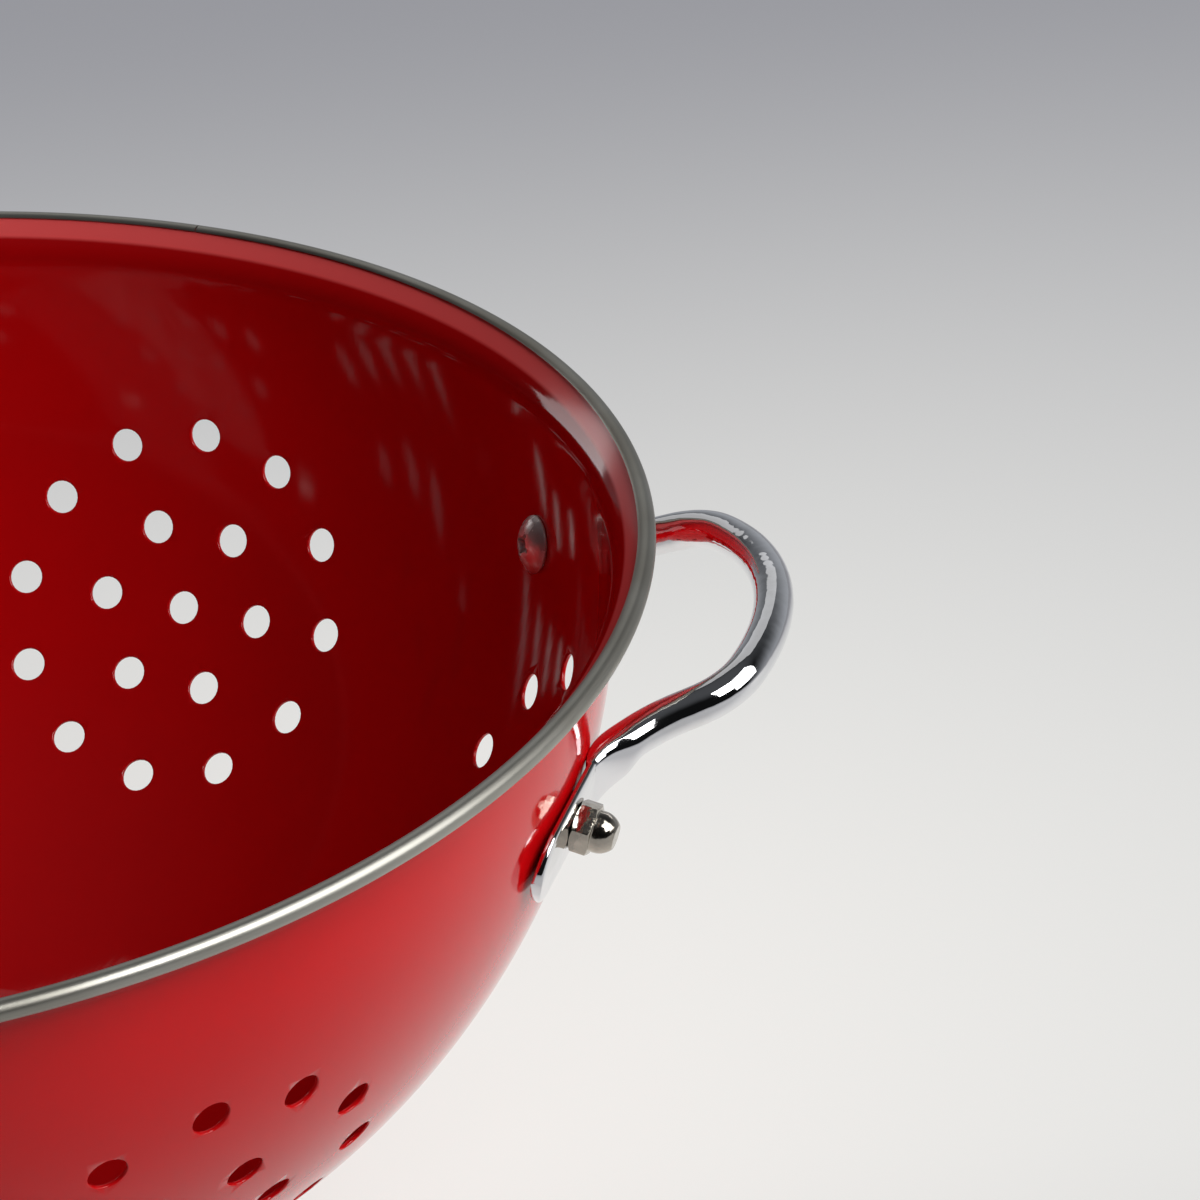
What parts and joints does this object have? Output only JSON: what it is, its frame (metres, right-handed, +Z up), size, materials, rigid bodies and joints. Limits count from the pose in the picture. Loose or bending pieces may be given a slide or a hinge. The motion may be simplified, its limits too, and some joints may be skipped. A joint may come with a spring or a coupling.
{
  "type": "colander",
  "caption": "Round footed colander with clustered drain holes, a banded rim and two bolted bent-rod handles.",
  "frame": {"origin": "centre of the foot ring, at the surface it stands on", "axes": "+Z up along the bowl's axis; +X from the axis through the middle of the right handle"},
  "size_m": [0.2942, 0.254, 0.1163],
  "materials": {
    "red_enamel": "glossy vitreous enamel",
    "band_steel": "satin",
    "chrome": "polished chrome plate"
  },
  "bodies": {
    "root": {"bowl": "red_enamel", "rim_band": "band_steel", "foot_ring": "red_enamel", "handle_right": "chrome", "handle_left": "chrome", "screw_right_front": "chrome", "screw_right_back": "chrome", "screw_left_front": "chrome", "screw_left_back": "chrome", "acorn_nut_right_front": "chrome", "acorn_nut_right_back": "chrome", "acorn_nut_left_front": "chrome", "acorn_nut_left_back": "chrome"}
  },
  "joints": []
}
